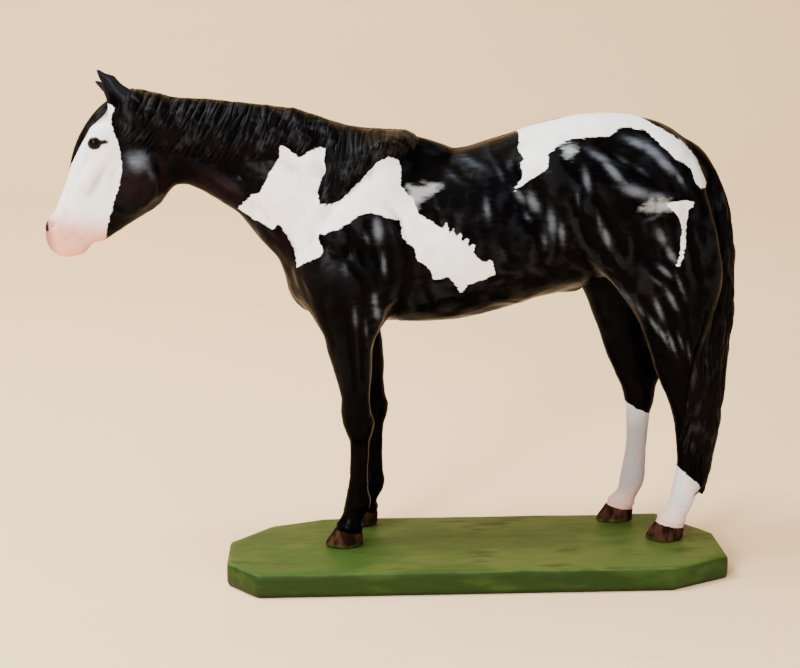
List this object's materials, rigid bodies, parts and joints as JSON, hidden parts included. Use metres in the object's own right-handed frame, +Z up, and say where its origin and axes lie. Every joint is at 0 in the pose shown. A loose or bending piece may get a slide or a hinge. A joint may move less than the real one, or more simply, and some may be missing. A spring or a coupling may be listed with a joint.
{
  "type": "horse statue",
  "caption": "Painted figurine of a stock horse with a pinto coat, standing square on a thin hand-cut base with sloped corners.",
  "frame": {"origin": "centre of the base's underside, where the statue rests on a surface", "axes": "+Z up, -X the way the horse faces, -Y the horse's left side, which the picture shows"},
  "size_m": [0.291, 0.0797, 0.213],
  "materials": {
    "horse": "gloss",
    "base": "satin"
  },
  "bodies": {
    "root": {"horse": "horse", "base": "base"}
  },
  "joints": []
}
